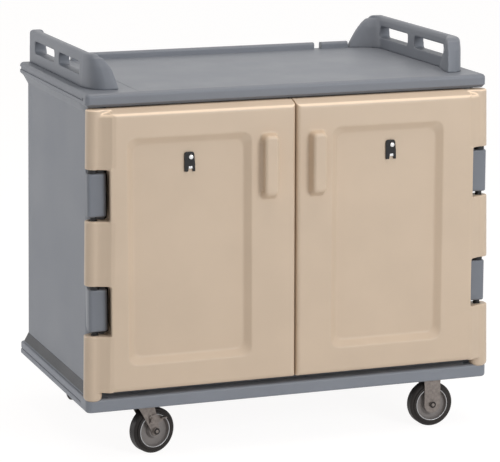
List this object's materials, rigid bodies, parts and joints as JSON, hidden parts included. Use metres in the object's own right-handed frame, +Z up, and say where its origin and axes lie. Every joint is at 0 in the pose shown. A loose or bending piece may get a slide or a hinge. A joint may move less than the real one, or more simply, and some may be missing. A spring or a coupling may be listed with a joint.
{
  "type": "meal tray cart",
  "caption": "Enclosed insulated tray cart with two hinged doors, stacked tray ledges, a railed worktop, push handles, a wrap-around bumper, and swivel and fixed casters.",
  "frame": {"origin": "on the floor, at the middle of the cart's overall width and depth", "axes": "+Z up, the doors face -Y, +X to the right of someone facing the doors"},
  "size_m": [1.1814, 0.771, 1.0904],
  "materials": {
    "grey_shell": "slate blue-grey moulded plastic, satin",
    "tan_door": "warm beige moulded plastic, satin",
    "seal": "black foam rubber",
    "steel_pin": "bright drawn steel",
    "black_nylon": "black nylon",
    "magnet": "black coated magnet",
    "strike_steel": "folded sheet steel",
    "black_clip": "black, slightly glossy",
    "rivet": "bright rivet head",
    "rail_plastic": "mid-grey moulded plastic",
    "zinc": "zinc-plated pressed steel",
    "wheel_core": "grey moulded wheel centre",
    "tyre": "dark rubber tread"
  },
  "bodies": {
    "cabinet": {"top_deck": "grey_shell", "cabinet_shell": "grey_shell", "cabinet_eave": "grey_shell", "base_skirt": "grey_shell", "caster_bolts": "zinc", "left_push_handle": "grey_shell", "left_hinge_knuckles": "grey_shell", "left_hinge_pins": "steel_pin", "left_strike_plate": "strike_steel", "left_outer_tray_rails": "rail_plastic", "left_inner_tray_rails": "rail_plastic", "right_push_handle": "grey_shell", "right_hinge_knuckles": "grey_shell", "right_hinge_pins": "steel_pin", "right_strike_plate": "strike_steel", "right_outer_tray_rails": "rail_plastic", "right_inner_tray_rails": "rail_plastic", "front_left_mount_plate": "zinc", "back_left_mount_plate": "zinc", "front_right_mount_plate": "zinc", "back_right_mount_plate": "zinc", "front_left_swivel_race": "zinc", "back_left_swivel_race": "zinc", "front_right_fork": "zinc", "front_right_axle": "zinc", "back_right_fork": "zinc", "back_right_axle": "zinc"},
    "left_leaf": {"left_door": "tan_door", "left_door_gasket": "seal", "left_hinge_bushes": "black_nylon", "left_catch_magnet": "magnet", "left_menu_clip": "black_clip", "left_clip_rivet": "rivet"},
    "right_leaf": {"right_door": "tan_door", "right_door_gasket": "seal", "right_hinge_bushes": "black_nylon", "right_catch_magnet": "magnet", "right_menu_clip": "black_clip", "right_clip_rivet": "rivet"},
    "front_left_swivel": {"front_left_fork": "zinc", "front_left_axle": "zinc"},
    "front_left_brake": {"front_left_brake_pedal": "zinc"},
    "front_left_roller": {"front_left_wheel": "wheel_core", "front_left_tyre": "tyre"},
    "back_left_swivel": {"back_left_fork": "zinc", "back_left_axle": "zinc"},
    "back_left_brake": {"back_left_brake_pedal": "zinc"},
    "back_left_roller": {"back_left_wheel": "wheel_core", "back_left_tyre": "tyre"},
    "front_right_roller": {"front_right_wheel": "wheel_core", "front_right_tyre": "tyre"},
    "back_right_roller": {"back_right_wheel": "wheel_core", "back_right_tyre": "tyre"}
  },
  "joints": [
    {"name": "left_door_hinge", "type": "hinge", "parent": "cabinet", "child": "left_leaf", "pos_m": [-0.558, -0.3095, 0.55], "axis": [0, 0, -1], "range_deg": [0, 198]},
    {"name": "right_door_hinge", "type": "hinge", "parent": "cabinet", "child": "right_leaf", "pos_m": [0.558, -0.3095, 0.55], "axis": [0, 0, 1], "range_deg": [0, 198]},
    {"name": "front_left_swivel_turn", "type": "hinge", "parent": "cabinet", "child": "front_left_swivel", "pos_m": [-0.422, -0.2815, 0.14], "axis": [0, 0, 1], "continuous": true},
    {"name": "front_left_wheel_spin", "type": "hinge", "parent": "front_left_swivel", "child": "front_left_roller", "pos_m": [-0.38998, -0.27352, 0.0635], "axis": [-0.2419, 0.9703, 0], "continuous": true},
    {"name": "front_left_brake_press", "type": "hinge", "parent": "front_left_swivel", "child": "front_left_brake", "pos_m": [-0.40211, -0.27654, 0.0965], "axis": [-0.2419, 0.9703, 0], "range_deg": [0, 18]},
    {"name": "back_left_swivel_turn", "type": "hinge", "parent": "cabinet", "child": "back_left_swivel", "pos_m": [-0.422, 0.3425, 0.14], "axis": [0, 0, 1], "continuous": true},
    {"name": "back_left_wheel_spin", "type": "hinge", "parent": "back_left_swivel", "child": "back_left_roller", "pos_m": [-0.4385, 0.31392, 0.0635], "axis": [0.866, -0.5, 0], "continuous": true},
    {"name": "back_left_brake_press", "type": "hinge", "parent": "back_left_swivel", "child": "back_left_brake", "pos_m": [-0.43225, 0.32475, 0.0965], "axis": [0.866, -0.5, 0], "range_deg": [0, 18]},
    {"name": "front_right_wheel_spin", "type": "hinge", "parent": "cabinet", "child": "front_right_roller", "pos_m": [0.431, -0.2815, 0.0635], "axis": [0, 1, 0], "continuous": true},
    {"name": "back_right_wheel_spin", "type": "hinge", "parent": "cabinet", "child": "back_right_roller", "pos_m": [0.431, 0.3425, 0.0635], "axis": [0, 1, 0], "continuous": true}
  ]
}
